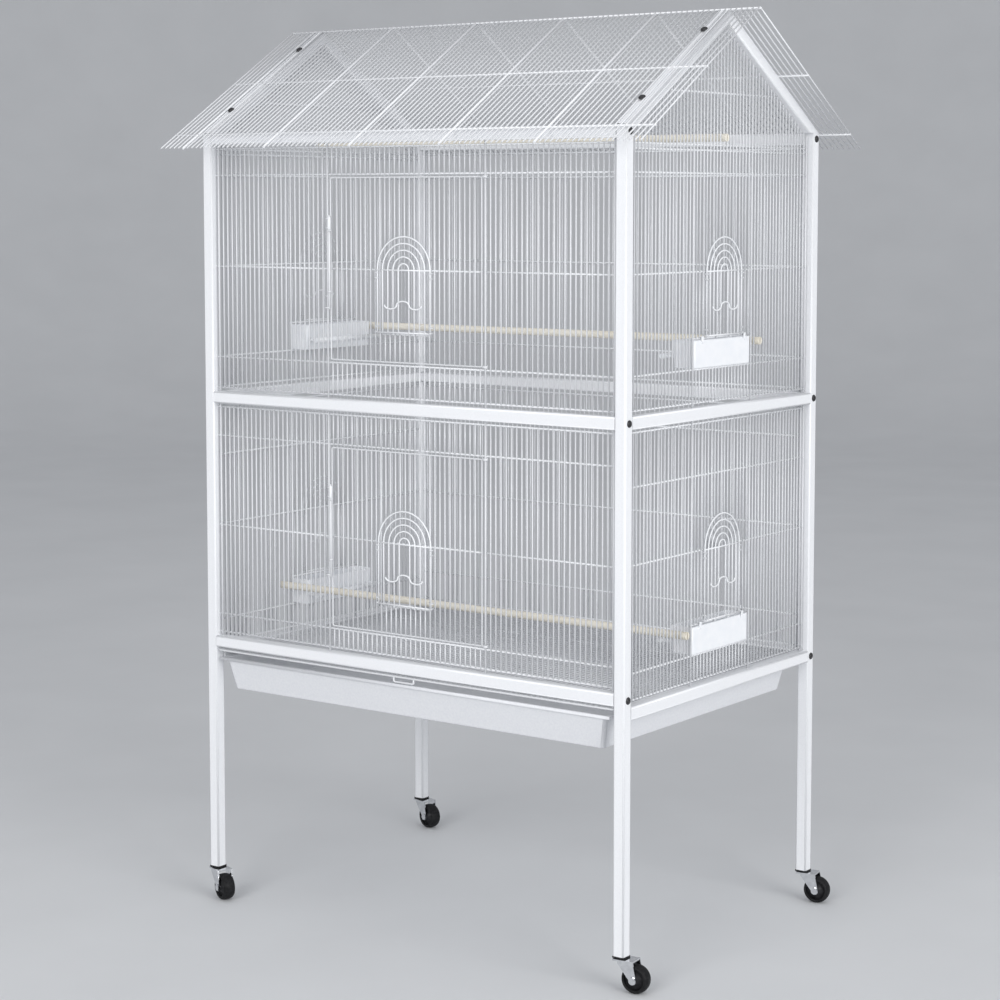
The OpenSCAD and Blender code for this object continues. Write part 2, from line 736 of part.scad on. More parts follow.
// Swivel fork: a stem, a top plate and two arms that trail to the axle
module fork(k) {
    front = -stem_d;
    color(chrome) on_caster(k) difference() {
        union() {
            translate([0, 0, plate_z]) cylinder(d = stem_d, h = caster_h + stem_l - stem_play - plate_z);
            translate([front, -fork_y - arm_t, plate_z]) cube([trail - front, 2 * (fork_y + arm_t), plate_t]);
            for (side = [-1, 1])
                translate([0, side * (fork_y + arm_t / 2) + arm_t / 2, 0]) rotate([90, 0, 0])
                    linear_extrude(arm_t) {
                        polygon([[0, plate_z + plate_t], [trail, plate_z + plate_t],
                            [trail + axle_d, wheel_r], [trail - axle_d, wheel_r],
                            [0, plate_z - plate_t]]);
                        translate([trail, wheel_r]) circle(axle_d);
                    }
        }
        translate([trail, 0, wheel_r]) rotate([90, 0, 0])
            cylinder(d = axle_d + 2 * pin_clear, h = reach, center = true);
    }
}

// Riveted axle through both arms
module axle(k) {
    half = fork_y + arm_t + seat_gap;
    color(chrome) on_caster(k) translate([trail, 0, wheel_r]) rotate([90, 0, 0]) {
        cylinder(d = axle_d, h = 2 * half, center = true);
        for (side = [0, 1]) mirror([0, 0, side]) translate([0, 0, half - eps])
            cylinder(d = axle_head, h = axle_head_h);
    }
}

// Wheel with a recessed web and chamfered tread
module wheel(k) {
    half = wheel_w / 2;
    bore = axle_d / 2 + pin_clear;
    hub = axle_d / 2 + hub_t;
    rim = wheel_r - tyre_t;
    web = half - web_recess;
    edge = wheel_r - tread_chamfer[0];
    tread = half - tread_chamfer[1];
    color(black) on_caster(k) translate([trail, 0, wheel_r]) rotate([90, 0, 0]) rotate_extrude()
        polygon([[bore, -half], [hub, -half], [hub, -web], [rim, -web], [rim, -half], [edge, -half],
            [wheel_r, -tread], [wheel_r, tread], [edge, half], [rim, half], [rim, web], [hub, web],
            [hub, half], [bore, half]]);
}

post(0);  // front_left_post
post(1);  // front_right_post
post(2);  // back_right_post
post(3);  // back_left_post
long_rail(-1, top_z);  // front_top_rail
long_rail(-1, mid_z);  // front_mid_rail
long_rail(-1, bottom_z);  // front_bottom_rail
long_rail(1, top_z);  // back_top_rail
long_rail(1, mid_z);  // back_mid_rail
long_rail(1, side_z);  // back_bottom_rail
side_rail(-1, mid_z);  // left_mid_rail
side_rail(-1, side_z);  // left_bottom_rail
side_rail(1, mid_z);  // right_mid_rail
side_rail(1, side_z);  // right_bottom_rail
rafter_pair(-1);  // left_rafters
rafter_pair(1);  // right_rafters
roof_grille(0);  // front_roof_grille
roof_grille(1);  // back_roof_grille
front_grille(upper);  // upper_front_grille
front_grille(lower);  // lower_front_grille
back_grille(upper);  // upper_back_grille
back_grille(lower_flank);  // lower_back_grille
on_wall(270) upper_side();  // upper_left_grille
on_wall(270) lower_side();  // lower_left_grille
on_wall(90) upper_side();  // upper_right_grille
on_wall(90) lower_side();  // lower_right_grille
large_door(upper);  // upper_door
large_door(lower);  // lower_door
latch(upper);  // upper_latch
latch(lower);  // lower_latch
on_wall(0) front_door(upper);  // upper_front_slide_door
on_wall(0) front_door(lower);  // lower_front_slide_door
on_wall(270) side_door(upper, upper_ledge);  // upper_left_slide_door
on_wall(270) side_door(lower, lower_ledge);  // lower_left_slide_door
on_wall(90) side_door(upper, upper_ledge);  // upper_right_slide_door
on_wall(90) side_door(lower, lower_ledge);  // lower_right_slide_door
on_wall(270) cup(upper_ledge);  // upper_left_cup
on_wall(270) cup(lower_ledge);  // lower_left_cup
on_wall(90) cup(upper_ledge);  // upper_right_cup
on_wall(90) cup(lower_ledge);  // lower_right_cup
perch(-perch_wires * pitch, lower[0] + low_perch_h);  // lower_perch
perch(perch_wires * pitch, upper[0] + mid_perch_h);  // upper_perch
perch(0, post_top - top_perch_drop);  // top_perch
floor_grate();
litter_tray();
runners();
frame_bolts();
caster_sockets();
fork(0);  // front_left_fork
fork(1);  // front_right_fork
fork(2);  // back_right_fork
fork(3);  // back_left_fork
axle(0);  // front_left_axle
axle(1);  // front_right_axle
axle(2);  // back_right_axle
axle(3);  // back_left_axle
wheel(0);  // front_left_wheel
wheel(1);  // front_right_wheel
wheel(2);  // back_right_wheel
wheel(3);  // back_left_wheel
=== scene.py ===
"""Flight bird cage: round wires, rounded tubes, finishes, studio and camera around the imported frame."""
import json
import math

import bmesh
import bpy
from mathutils import Matrix, Vector


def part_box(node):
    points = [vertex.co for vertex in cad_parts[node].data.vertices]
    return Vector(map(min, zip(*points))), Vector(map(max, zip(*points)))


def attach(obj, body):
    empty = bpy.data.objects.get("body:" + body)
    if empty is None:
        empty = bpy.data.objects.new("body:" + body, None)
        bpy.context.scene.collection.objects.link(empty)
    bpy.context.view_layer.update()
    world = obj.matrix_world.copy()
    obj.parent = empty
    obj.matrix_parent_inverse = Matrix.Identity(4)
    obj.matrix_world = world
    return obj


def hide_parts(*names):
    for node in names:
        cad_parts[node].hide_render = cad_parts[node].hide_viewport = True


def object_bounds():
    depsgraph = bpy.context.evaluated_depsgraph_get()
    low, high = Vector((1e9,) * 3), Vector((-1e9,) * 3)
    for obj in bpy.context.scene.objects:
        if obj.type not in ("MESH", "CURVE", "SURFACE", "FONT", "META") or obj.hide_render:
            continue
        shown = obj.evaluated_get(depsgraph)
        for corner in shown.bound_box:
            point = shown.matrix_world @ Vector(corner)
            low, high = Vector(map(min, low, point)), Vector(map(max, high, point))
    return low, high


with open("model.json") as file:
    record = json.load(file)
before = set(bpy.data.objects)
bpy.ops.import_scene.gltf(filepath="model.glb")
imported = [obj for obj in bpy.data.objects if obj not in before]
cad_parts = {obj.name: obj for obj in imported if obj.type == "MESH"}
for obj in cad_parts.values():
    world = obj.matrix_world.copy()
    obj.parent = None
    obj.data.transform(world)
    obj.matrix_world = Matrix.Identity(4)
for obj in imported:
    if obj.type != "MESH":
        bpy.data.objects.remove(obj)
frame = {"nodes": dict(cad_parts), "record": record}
cad_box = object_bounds()

# Wires, in metres, with radii for round stock
PITCH = 0.009525
WIRE = 0.0012
THIN = 0.8 * WIRE
HEAVY = 0.0016
CROSS = 0.0015
WELD = 0.85
SEAT_GAP = 0.0002
EDGE_INSET = 0.006
WIRE_SIDES = 8
CROSS_SLOT = 1

# How finely curves are cut, and the width from which a face stays flat
ARC_STEPS = 10
BEND_STEPS = 4
CORNER_STEPS = 6
TURNED_SIDES = 24
FLAT_EDGE = 0.004

# Cross wires of the two bays, the middle ones from the posts' tops
UPPER_ROW_H = 0.213
LOWER_ROW_H = 0.633
ROW = 0.146
LOW_CUP_DROP = 0.158
SIDE_ROW_RISE = 0.114
GABLE_ROWS = (-0.014, -0.006, 0.072)

# Doors, with jambs and arches counted in wires from the middle
FRONT_JAMB = 16
SIDE_JAMB = 9
ARCHES = 5
ARCH_STEP = 0.0102
DOORWAY_H = 0.095
DOOR_INSET = 0.0065
DOOR_GAP = 0.002
SLIDE_GAP = 0.0004
HANDLE_DROP = 0.053
HANDLE_OUT = 1.6 * WIRE
CURL_R = 0.012
CURL_FLAT = 0.5
CURL_TURNS = ((180, 360), (180, 0), (180, 360))
BRACKET_H = 0.008
STOP_X = 0.020
COIL_TURNS = 2.5
COIL_STEPS = 14
HINGE_COIL = 1.2 * WIRE

# Latches
ROD = 0.00125
ROD_L = 0.146
ROD_LOW = 0.063
ROD_SIDES = 16
SLEEVE = 0.0023
SLEEVE_H = 0.022
SLEEVE_RIM = 0.0006
EYE_RISE = 0.026
EYE_H = 0.003
EYE_COIL = 0.7 * WIRE
PRONG = 0.8 * ROD
PRONG_L = 0.006
PRONG_SIDES = 12

# Cups
CUP_W = 0.040
CUP_H = 0.042
CUP_WALL = 0.002
CUP_DRAW = 0.003
CUP_CORNER = 0.006
CUP_SOFT = 0.0015
CUP_SOFT_STEP = 0.3 * CUP_SOFT
CUP_LIP = 0.0006
TAB_W = 0.005
TAB_T = 0.8 * CUP_WALL
TAB_PITCHES = 1.5
STRIP_BEND = 0.0012
FEED_R = 0.004
FEED_REACH = 0.017
FEED_H = 0.017
FEED_ARM = 0.004
FEED_SIDES = 20

# Tray and grate
SHEET = 0.0012
TRAY_DRAW = 0.011
FRONT_DRAW = 0.010
TRAY_SOFT = 0.001
TRAY_SOFT_DRAW = 0.95
LIP_H = 0.005
LIP_T = 0.004
LIP_ROUND = 0.0015
TRAY_FLANGE = 0.0082
TRAY_CORNER = 0.006
GRATE_ROWS = 4
LOOP_HALF = 0.021
PULL_H = 0.008

# Frame tubes and roof
X_AXIS, Y_AXIS, Z_AXIS = range(3)
RAIL_LEVELS = ("top", "mid", "bottom")
TUBE_WALL = 0.0012
TUBE_ROUND = 0.0025
ROOF_ANGLE = math.radians(32)
ROOF_TOP_ROW = 0.0032
ROOF_MID_ROW = 0.178
EAVE_ROW = 0.008
ROW_SINK = 1.5 * WIRE
RIB = 0.0021
RIDGE_TRIM = 0.0017
RIB_LAST = 29
RIB_STEP = 18
ROOF_BOLTS = (0.2, 0.8)

# Bolt heads: the straight edge and the socket are shares of the head, the dome's arc is in degrees
HEAD_R = 0.0055
HEAD_H = 0.003
HEAD_EDGE = 0.12
HEAD_ARC = (15, 30, 45, 60)
SOCKET = ((0.34, 0.8), (0.30, 0.45))

# Casters: name, side, depth and turn in degrees
CASTERS = (
    ("front_left", -1, -1, -22),
    ("front_right", 1, -1, 6),
    ("back_right", 1, 1, 9),
    ("back_left", -1, 1, -15),
)
CORNERS = [name for name, *_ in CASTERS]
TRAIL = 0.0245
WHEEL_R = 0.0215
WHEEL_W = 0.020
WHEEL_SIDES = 48
TYRE_T = 0.006
TYRE_CROWN = 0.004
CROWN_ARC = range(-75, 76, 15)
RIM_LIP = 0.001
RIM_SHARE = 0.9
HUB_STEPS = ((1.0, 0.62), (0.5, 0.7), (0.45, 0.98))
HUB_SLOT = 1
AXLE_R = 0.003
BORE_GAP = 0.0001

# Softened edges of the CAD nodes that stay in view
PERCH_EDGE = 0.0008
CASTER_EDGE = 0.0006
AXLE_EDGE = 0.0004
BEVEL_STEPS = 2
BEVEL_ANGLE = math.radians(50)

# Finishes
NOISE_DETAIL = 4
RAMP_ENDS = (0.3, 0.7)
RELIEF_GRAIN = 6
RELIEF_DEPTH = 0.0002
PLAIN_SPECULAR = 0.5

# Studio: lights are name, place, size and power
CAMERA_AT = (2.204, -3.054, 1.144)
CAMERA_AZIMUTH = math.radians(36.06)
CAMERA_PITCH = math.radians(4.86)
LENS = 84
SENSOR = 36
SHIFT_Y = -0.1
FLOOR_RINGS = (0.02, 2.0, 7.0)
FLOOR_RISE = 4.0
FLOOR_ARC = range(10, 81, 10)
FLOOR_SIDES = 96
LIGHT_AIM = (0, 0, 0.75)
LIGHTS = (
    ("key", (0.8, -6.8, 3.15), 3.9, 235),
    ("fill", (6.5, -1.9, 2.4), 3.9, 255),
    ("top", (0, 0, 4.2), 3.0, 12),
)
WORLD_COLOUR = (0.93, 0.95, 1.0, 1)
WORLD_STRENGTH = 0.46

# Places read from the frame
post_lo, post_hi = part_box("front_right_post")
TUBE = post_hi.x - post_lo.x
WALL_X = (post_lo.x + post_hi.x) / 2
WALL_Y = -(post_lo.y + post_hi.y) / 2
POST_TOP = post_hi.z
UPPER_MID = POST_TOP - UPPER_ROW_H
LOWER_MID = POST_TOP - LOWER_ROW_H
INNER_X = WALL_X - TUBE / 2
INNER_Y = WALL_Y - TUBE / 2
CAGE_D = 2 * WALL_Y + TUBE
FRONT_N = math.floor((INNER_X - 2 * HEAVY) / PITCH)
SIDE_N = math.floor((INNER_Y - 2 * HEAVY) / PITCH)
JAMB_X = FRONT_JAMB * PITCH
DOOR_X = JAMB_X - DOOR_INSET
DOORWAY_X = ARCHES * PITCH
ARCH_X = ARCHES * ARCH_STEP
CROSS_W = -(WIRE + CROSS) * WELD
SLIDE_W = 2 * WIRE + SLIDE_GAP
ROD_W = WIRE + SLIDE_GAP + SLEEVE

roof_lo, roof_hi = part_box("front_roof_grille")
ROOF_L = -roof_lo.y / math.cos(ROOF_ANGLE)
RIDGE_Z = roof_lo.z - roof_lo.y * math.tan(ROOF_ANGLE) + 2 * WIRE * math.cos(ROOF_ANGLE)
ROOF_X = roof_hi.x
ROOF_ROWS = (ROOF_TOP_ROW, ROOF_MID_ROW, (CAGE_D / 2 + EAVE_ROW) / math.cos(ROOF_ANGLE))
SLOPE = Vector((0, math.cos(ROOF_ANGLE), -math.sin(ROOF_ANGLE)))


def body_of(node):
    """Name of the body that carries a node."""
    for body, members in frame["record"]["behaviour"]["bodies"].items():
        if node in members:
            return body
    raise KeyError(node)


# Node materials
def finish(name, colours, grain, roughness, bump=0.0, metallic=0.0, stretch=(1, 1, 1),
           specular=PLAIN_SPECULAR):
    """Principled material whose colour, roughness and bump come from noise in object space."""
    material = bpy.data.materials.new(name)
    material.use_nodes = True
    nodes = material.node_tree.nodes
    links = material.node_tree.links
    shader = nodes["Principled BSDF"]
    shader.inputs["Metallic"].default_value = metallic
    shader.inputs["Specular IOR Level"].default_value = specular
    coords = nodes.new("ShaderNodeTexCoord")
    mapping = nodes.new("ShaderNodeMapping")
    mapping.inputs["Scale"].default_value = stretch
    links.new(coords.outputs["Object"], mapping.inputs["Vector"])

    noise = nodes.new("ShaderNodeTexNoise")
    noise.inputs["Scale"].default_value = grain
    noise.inputs["Detail"].default_value = NOISE_DETAIL
    links.new(mapping.outputs["Vector"], noise.inputs["Vector"])
    ramp = nodes.new("ShaderNodeValToRGB")
    for element, position, colour in zip(ramp.color_ramp.elements, RAMP_ENDS, colours):
        element.position = position
        element.color = (*colour, 1)
    links.new(noise.outputs["Fac"], ramp.inputs["Fac"])
    links.new(ramp.outputs["Color"], shader.inputs["Base Color"])

    gloss = nodes.new("ShaderNodeMapRange")
    gloss.inputs["To Min"].default_value = roughness[0]
    gloss.inputs["To Max"].default_value = roughness[1]
    links.new(noise.outputs["Fac"], gloss.inputs["Value"])
    links.new(gloss.outputs["Result"], shader.inputs["Roughness"])

    if bump:
        relief = nodes.new("ShaderNodeTexNoise")
        relief.inputs["Scale"].default_value = grain * RELIEF_GRAIN
        links.new(mapping.outputs["Vector"], relief.inputs["Vector"])
        normal = nodes.new("ShaderNodeBump")
        normal.inputs["Strength"].default_value = bump
        normal.inputs["Distance"].default_value = RELIEF_DEPTH
        links.new(relief.outputs["Fac"], normal.inputs["Height"])
        links.new(normal.outputs["Normal"], shader.inputs["Normal"])
    return material


POWDER = finish("powder_coat", ((0.82, 0.83, 0.85), (0.86, 0.87, 0.89)), 500, (0.32, 0.40), 0.1)
# Wire coat: the tubes' white paint darkened, painted shade for the shading that falls on the thin wires
WIRE_COAT_PAINTED_SHADE = finish("wire_coat_painted_shade", ((0.68, 0.69, 0.71), (0.73, 0.74, 0.76)), 500, (0.32, 0.40), 0.1)
PLASTIC = finish("moulded_plastic", ((0.86, 0.88, 0.91), (0.91, 0.92, 0.94)), 60, (0.28, 0.36), 0.05)
# Tray enamel: the tray is white like the frame, darkened to paint in the shade on its downward-facing front
# and its sides
TRAY_PAINTED_SHADE = finish("tray_enamel_painted_shade", ((0.70, 0.71, 0.74), (0.75, 0.76, 0.78)), 300, (0.34, 0.42), 0.06)
WOOD = finish("birch", ((0.77, 0.72, 0.61), (0.88, 0.84, 0.75)), 55, (0.5, 0.68), 0.3,
              stretch=(0.12, 1, 1))
BOLT = finish("black_steel", ((0.012, 0.012, 0.014), (0.03, 0.03, 0.033)), 300, (0.25, 0.4), 0.1)
BLACK = finish("black_plastic", ((0.010, 0.010, 0.011), (0.022, 0.022, 0.024)), 200, (0.35, 0.5), 0.1,
               specular=0.2)
CHROME = finish("chrome", ((0.66, 0.67, 0.69), (0.80, 0.81, 0.83)), 150, (0.05, 0.14), 0.03,
                metallic=1.0)
RUBBER = finish("tyre", ((0.008, 0.008, 0.009), (0.02, 0.02, 0.021)), 250, (0.4, 0.6), 0.15,
                specular=0.12)
HUB = finish("hub", ((0.018, 0.018, 0.020), (0.04, 0.04, 0.043)), 120, (0.25, 0.4), 0.05,
             specular=0.15)
# Grilles: thin wires in the darkened coat of painted shade, cross wires and ribs in the plain powder coat
GRILLE = [WIRE_COAT_PAINTED_SHADE, POWDER]


# Shapes
def full_turn(sides):
    """Angles of a full turn in equal steps."""
    return [2 * math.pi * i / sides for i in range(sides)]


class Shape:
    """Closed lofts gathered into one mesh."""

    def __init__(self):
        self.verts = []
        self.faces = []
        self.flat = []
        self.slots = []

    def add(self, face, flat, slot):
        """Adds one face with its shading and its material slot."""
        self.faces.append(face)
        self.flat.append(flat)
        self.slots.append(slot)

    def loft(self, loops, closed=False, slot=0):
        """Skins a row of loops, flat where they run straight; the ends are capped, or joined if closed."""
        start = len(self.verts)
        count = len(loops[0])
        for loop in loops:
            self.verts.extend(Vector(p) for p in loop)
        rows = len(loops)
        for k in range(rows if closed else rows - 1):
            a = start + k * count
            b = start + (k + 1) % rows * count
            for i in range(count):
                j = (i + 1) % count
                wide = (self.verts[a + i] - self.verts[a + j]).length > FLAT_EDGE
                self.add((a + i, a + j, b + j, b + i), wide, slot)
        if not closed:
            last = start + (rows - 1) * count
            self.add(tuple(range(start + count - 1, start - 1, -1)), True, slot)
            self.add(tuple(range(last, last + count)), True, slot)

    def wire(self, points, radius, closed=False, sides=WIRE_SIDES, slot=0):
        """Round wire along points, turned as little as its bends allow."""
        path = [Vector(p) for p in points]
        count = len(path)
        tangents = []
        for k in range(count):
            before = path[(k - 1) % count] if closed or k else path[0]
            after = path[(k + 1) % count] if closed or k < count - 1 else path[-1]
            tangents.append((after - before).normalized())
        side = tangents[0].orthogonal().normalized()
        loops = []
        for k, point in enumerate(path):
            if k:
                side = tangents[k - 1].rotation_difference(tangents[k]) @ side
            other = tangents[k].cross(side)
            loops.append([point + radius * (math.cos(a) * side + math.sin(a) * other)
                          for a in full_turn(sides)])
        self.loft(loops, closed, slot)

    def turned(self, profile, matrix, sides=TURNED_SIDES, closed=False, slot=0):
        """Body of revolution about local Z: profile holds (radius, height) pairs."""
        loops = [[matrix @ Vector((r * math.cos(a), r * math.sin(a), z)) for a in full_turn(sides)]
                 for r, z in profile]
        self.loft(loops, closed, slot)

    def build(self, name, node, materials, matrix=None):
        """Makes the mesh object, puts it on its node's body and lets it stand for the node."""
        mesh = bpy.data.meshes.new(name)
        place = matrix or Matrix.Identity(4)
        mesh.from_pydata([place @ p for p in self.verts], [], self.faces)
        for material in materials:
            mesh.materials.append(material)
        mesh.polygons.foreach_set("use_smooth", [not f for f in self.flat])
        mesh.polygons.foreach_set("material_index", self.slots)
        tidy = bmesh.new()
        tidy.from_mesh(mesh)
        bmesh.ops.recalc_face_normals(tidy, faces=tidy.faces)
        tidy.to_mesh(mesh)
        tidy.free()
        mesh.update()
        piece = bpy.data.objects.new(name, mesh)
        bpy.context.scene.collection.objects.link(piece)
        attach(piece, body_of(node))
        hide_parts(node)


def on_wall(turn):
    """Wall frame: X along the wall, Y up, Z outward, on the wall that faces turn."""
    out = WALL_Y if turn % 180 == 0 else WALL_X
    return (Matrix.Rotation(math.radians(turn), 4, "Z") @ Matrix.Translation((0, -out, 0))
            @ Matrix.Rotation(math.radians(90), 4, "X"))


def arc(centre, radius, start, end, steps=ARC_STEPS):
    """Points of an arc in a plane, angles in degrees."""
    angles = [math.radians(start + (end - start) * k / steps) for k in range(steps + 1)]
    return [(centre[0] + radius * math.cos(a), centre[1] + radius * math.sin(a)) for a in angles]


def lift(points, w):
    """Plane points at a distance w from the plane."""
    return [(u, v, w) for u, v in points]


def fillet(points, radius):
    """Open path with its inner corners rounded."""
    path = [Vector(p) for p in points]
    made = [path[0]]
    for before, at, after in zip(path, path[1:], path[2:]):
        a = at + (before - at).normalized() * radius
        b = at + (after - at).normalized() * radius
        for k in range(BEND_STEPS + 1):
            t = k / BEND_STEPS
            made.append((1 - t) ** 2 * a + 2 * t * (1 - t) * at + t * t * b)
    made.append(path[-1])
    return made


def hoop(half, low, high):
    """Rectangle of bent wire, as plane points from the middle of its lower side."""
    corners = [(0, low), (half, low), (half, high), (-half, high), (-half, low), (0, low)]
    return fillet(corners, 2 * HEAVY)[:-1]


def rounded(x0, x1, y0, y1, radius, steps=CORNER_STEPS):
    """Rectangle with round corners, as plane points."""
    made = []
    for x, y, start in ((x1, y1, 0), (x0, y1, 90), (x0, y0, 180), (x1, y0, 270)):
        cx = x - radius if x == x1 else x + radius
        cy = y - radius if y == y1 else y + radius
        made += arc((cx, cy), radius, start, start + 90, steps)
    return made


def upright(shape, i, low, high, radius=WIRE):
    """Upright wire, i pitches from the wall's middle."""
    shape.wire([(i * PITCH, low, 0), (i * PITCH, high, 0)], radius)


def across(shape, half, height, radius=CROSS, w=CROSS_W, slot=CROSS_SLOT):
    """Cross wire over both sides of the wall's middle."""
    shape.wire([(-half, height, w), (half, height, w)], radius, slot=slot)


def coil(shape, centre, radius, wire, middle, rise):
    """Wire loop wound round an upright pin, from rise below its middle to rise above."""
    low, high = middle - rise, middle + rise
    steps = int(COIL_TURNS * COIL_STEPS)
    points = []
    for k in range(steps + 1):
        turn = 2 * math.pi * COIL_TURNS * k / steps + math.pi
        points.append((centre[0] + radius * math.cos(turn), low + (high - low) * k / steps,
                       centre[1] + radius * math.sin(turn)))
    shape.wire(points, wire)


def strip(shape, path, centre, width, thick):
    """Flat strip along a path of heights and distances outward."""
    bent = fillet(path, STRIP_BEND)
    loops = []
    for k, point in enumerate(bent):
        before, after = bent[max(k - 1, 0)], bent[min(k + 1, len(bent) - 1)]
        along = (after - before).normalized()
        side = Vector((-along.y, along.x)) * thick / 2
        loops.append([(centre + s * width / 2, (point + t * side).x, (point + t * side).y)
                      for s, t in ((1, 1), (-1, 1), (-1, -1), (1, -1))])
    shape.loft(loops)


# Heights that several pieces share
def bay_rows(mid):
    """The three cross wires of a bay."""
    return mid - ROW, mid, mid + ROW


def bay_heights(node):
    """Foot and top of a bay's grille, then its lower and upper edge wire."""
    lo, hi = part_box(node)
    return lo.z, hi.z, lo.z + EDGE_INSET, hi.z - EDGE_INSET


def rafter_under(y):
    """Height just under the rafters at a depth y."""
    drop = (2 * WIRE + TUBE) / math.cos(ROOF_ANGLE)
    return RIDGE_Z - drop - abs(y) * math.tan(ROOF_ANGLE) - SEAT_GAP


def side_sill(ledge):
    """Sill of a small side door, above the cup that stands on the ledge."""
    return ledge + 3 * CROSS + CUP_H + SEAT_GAP


def door_sill(mid):
    """Sill of the small door in a large one."""
    return mid - DOORWAY_H - 2 * CROSS


def latch_seat(mid):
    """Foot of the sleeve on a latch rod."""
    return mid - ROD_LOW + ROD_L - SLEEVE_H


# Wall grilles
def stiff(i):
    """Whether an upright of the front or the back is one of the thick wires that reach the rails."""
    return abs(i) in (FRONT_JAMB, FRONT_N)


def slide_guides(shape, foot, base):
    """Wire hooks round a small door's edges and two stops under its foot."""
    web = ARCH_X + 2 * WIRE + SLIDE_GAP
    lip = SLIDE_W + 2 * WIRE + SLIDE_GAP
    hook = [(DOORWAY_X, 0.0), (web, 0.0), (web, lip), (ARCH_X - WIRE, lip)]
    for side in (-1, 1):
        for low in (foot + BRACKET_H / 2, base - 1.5 * BRACKET_H):
            for v in (low, low + BRACKET_H):
                shape.wire([(side * u, v, w) for u, w in fillet(hook, WIRE)], THIN)
        shape.wire([(side * STOP_X, foot, 0), (side * STOP_X, foot, SLIDE_W + WIRE)], WIRE)


def back_grille(node, mid):
    """Back wall: thick wires to the rails, thin ones between the edge wires."""
    low, high, foot_row, top_row = bay_heights(node)
    shape = Shape()
    for i in range(-FRONT_N, FRONT_N + 1):
        if stiff(i):
            upright(shape, i, low, high, HEAVY)
        else:
            upright(shape, i, foot_row, top_row)
    for row in (foot_row, top_row, *bay_rows(mid)):
        across(shape, INNER_X - SEAT_GAP, row)
    shape.build(node + "_wires", node, GRILLE, on_wall(180))


def front_grille(node, mid):
    """Front wall round a large door's opening."""
    low, high, foot_row, top_row = bay_heights(node)
    sill, middle, head = bay_rows(mid)
    edge = INNER_X - SEAT_GAP
    shape = Shape()
    for i in range(-FRONT_N, FRONT_N + 1):
        if stiff(i):
            upright(shape, i, low, high, HEAVY)
        elif abs(i) > FRONT_JAMB:
            upright(shape, i, foot_row, top_row)
        else:
            upright(shape, i, foot_row, sill)
            upright(shape, i, head, top_row)
    for side in (-1, 1):
        ends = [(side * JAMB_X, middle, CROSS_W), (side * edge, middle, CROSS_W)]
        shape.wire(ends, CROSS, slot=CROSS_SLOT)
    for row in (foot_row, top_row, sill, head):
        across(shape, edge, row)
    shape.build(node + "_wires", node, GRILLE, on_wall(0))


def side_grille(node, mid, ledge, high_rows, turn, gable):
    """Side wall round a cup and a small door, up to the rafters if it is the gable."""
    low, high, foot_row, top_row = bay_heights(node)
    foot = side_sill(ledge)
    edge = INNER_Y - SEAT_GAP
    shape = Shape()
    for i in range(-SIDE_N, SIDE_N + 1):
        top = rafter_under(i * PITCH) if gable else top_row
        n = abs(i)
        if n in (SIDE_JAMB, SIDE_N):
            upright(shape, i, low, top if gable else high, HEAVY)
        elif n > SIDE_JAMB:
            upright(shape, i, foot_row, top)
        else:
            upright(shape, i, foot_row, ledge)
            upright(shape, i, mid, top)
            if n >= ARCHES:
                upright(shape, i, foot, mid, HEAVY if n == ARCHES else WIRE)
    edge_rows = [foot_row] if gable else [foot_row, top_row]
    for row in (*edge_rows, ledge, mid, *high_rows):
        reach = min(edge, (rafter_under(0) - row) / math.tan(ROOF_ANGLE)) if gable else edge
        across(shape, reach, row)
    across(shape, SIDE_JAMB * PITCH, foot)
    slide_guides(shape, foot, mid)
    shape.build(node + "_wires", node, GRILLE, on_wall(turn))


# Doors
def large_door(node, mid):
    """Hinged door with a small doorway, hinge coils on its right and latch eyes on its left."""
    inset = CROSS + DOOR_GAP + HEAVY
    low, high = mid - ROW + inset, mid + ROW - inset
    foot = door_sill(mid)
    shape = Shape()
    shape.wire(lift(hoop(DOOR_X, low, high), 0), WIRE, closed=True)
    for i in range(2 - FRONT_JAMB, FRONT_JAMB - 1):
        n = abs(i)
        if n < ARCHES:
            upright(shape, i, low, foot)
            upright(shape, i, mid, high)
        else:
            upright(shape, i, low, high, HEAVY if n == ARCHES else WIRE)
    across(shape, DOOR_X, mid)
    across(shape, DOORWAY_X, foot)
    slide_guides(shape, foot, mid)
    ring = HEAVY + WIRE + SEAT_GAP
    for v in (low, high):
        shape.wire([(DOOR_X, v, 0), (JAMB_X - ring, v, 0)], WIRE)
        coil(shape, (JAMB_X, 0), ring, WIRE, v, HINGE_COIL)
    eye = ROD + THIN + SEAT_GAP
    for v in (mid - ROD_LOW + EYE_RISE, latch_seat(mid) - SEAT_GAP - EYE_H):
        coil(shape, (-DOOR_X, ROD_W), eye, THIN, v + EYE_H / 2, EYE_COIL)
    shape.build(node + "_wires", node, GRILLE, on_wall(0))


def latch(node, mid):
    """Lift rod with a sleeve, a tongue behind the jamb and two prongs."""
    low = mid - ROD_LOW
    seat = latch_seat(mid)
    shape = Shape()
    shape.wire([(-DOOR_X, low, ROD_W), (-DOOR_X, low + ROD_L, ROD_W)], ROD, sides=ROD_SIDES)
    top = SLEEVE_H - 2 * ROD
    sleeve = [(SLEEVE - SLEEVE_RIM, 0), (SLEEVE, SLEEVE_RIM),
              (SLEEVE, top - SLEEVE_RIM), (SLEEVE - SLEEVE_RIM, top)]
    stand = Matrix.Translation((-DOOR_X, seat, ROD_W)) @ Matrix.Rotation(math.radians(-90), 4, "X")
    shape.turned(sleeve, stand)
    tongue = DOOR_INSET + 2 * HEAVY
    for v, reach in ((low + 2 * ROD, tongue), (seat + 2 * ROD, PRONG_L), (low + ROD_L - 4 * ROD, PRONG_L)):
        shape.wire([(-DOOR_X, v, ROD_W), (-DOOR_X - reach, v, ROD_W)], PRONG, sides=PRONG_SIDES)
    shape.build(node + "_rod", node, [POWDER], on_wall(0))


